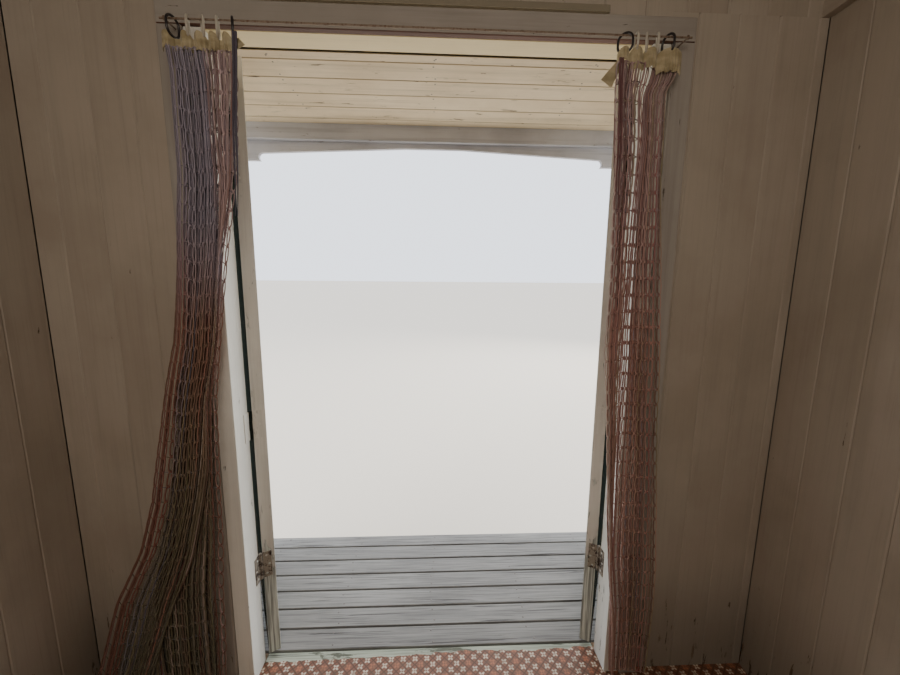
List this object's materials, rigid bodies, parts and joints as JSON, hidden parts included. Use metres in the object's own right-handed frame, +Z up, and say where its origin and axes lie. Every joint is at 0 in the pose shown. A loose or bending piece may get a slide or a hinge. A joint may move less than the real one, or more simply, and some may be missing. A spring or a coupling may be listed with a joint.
{
  "type": "timber beach hut with porch and double doors",
  "caption": "Small gabled timber hut, one room with a covered porch, arched front board and outward double doors on hinges.",
  "frame": {"origin": "On the ground, under the middle of the roof", "axes": "+Z up, the porch and the doors face -Y, +X to the right for someone who faces the front"},
  "size_m": [2.652, 3.329, 3.9752],
  "materials": {
    "concrete": "rough",
    "frame_timber": "sawn",
    "floor_wood": "sawn",
    "deck_wood": "weathered blue-grey paint",
    "patterned_covering": "matt, small lattice pattern",
    "threshold_paint": "worn pale green-grey paint",
    "inside_paint": "old cream paint",
    "outside_paint": "old pale paint",
    "white_paint": "white paint, worn",
    "porch_paint": "cream paint, peeling",
    "porch_beam_paint": "dull grey-lilac paint",
    "door_wood": "weathered grey, dark green paint left on the outer face",
    "batten_paint": "dull olive-grey paint",
    "roof_felt": "mineral felt",
    "hinge_iron": "rusty",
    "rod_wire": "dull brown, rusty",
    "ring_plastic": "smooth",
    "netting_yarn": "open crochet netting"
  },
  "bodies": {
    "hut": {"pier_blocks": "concrete", "bearers": "frame_timber", "floor_joists": "frame_timber", "floor_boards": "floor_wood", "floor_covering": "patterned_covering", "deck_boards": "deck_wood", "skirt_sides": "outside_paint", "skirt_ends": "outside_paint", "threshold": "threshold_paint", "side_wall_left": "outside_paint", "side_wall_right": "outside_paint", "back_wall": "outside_paint", "back_gable": "outside_paint", "front_wall_left": "inside_paint", "front_wall_right": "inside_paint", "front_wall_over_door": "inside_paint", "front_wall_gable": "inside_paint", "corner_boards": "white_paint", "wall_plates": "inside_paint", "porch_posts": "white_paint", "porch_beam": "porch_beam_paint", "porch_gable": "outside_paint", "porch_arch": "porch_beam_paint", "porch_ceiling": "porch_paint", "ceiling_joists": "frame_timber", "rafters": "inside_paint", "ridge_board": "inside_paint", "roof_boards": "inside_paint", "roof_felt": "roof_felt", "ridge_cap": "roof_felt", "barge_boards": "white_paint", "eaves_boards": "white_paint", "door_post_left": "white_paint", "door_post_right": "white_paint", "door_head": "porch_paint", "architrave": "inside_paint", "head_batten": "batten_paint", "post_hinges": "hinge_iron", "curtain_rod": "rod_wire", "curtain_rings": "ring_plastic", "curtain_left": "netting_yarn", "curtain_right": "netting_yarn"},
    "left_door": {"left_door_frame": "door_wood", "left_door_boards": "door_wood", "left_door_hinges": "hinge_iron"},
    "right_door": {"right_door_frame": "door_wood", "right_door_boards": "door_wood", "right_door_hinges": "hinge_iron"}
  },
  "joints": [
    {"name": "left_door_hinge", "type": "hinge", "parent": "hut", "child": "left_door", "pos_m": [-0.629, -0.8805, 1.4], "axis": [0, 0, -1], "range_deg": [-118, 52]},
    {"name": "right_door_hinge", "type": "hinge", "parent": "hut", "child": "right_door", "pos_m": [0.629, -0.8805, 1.4], "axis": [0, 0, 1], "range_deg": [-118, 52]}
  ]
}
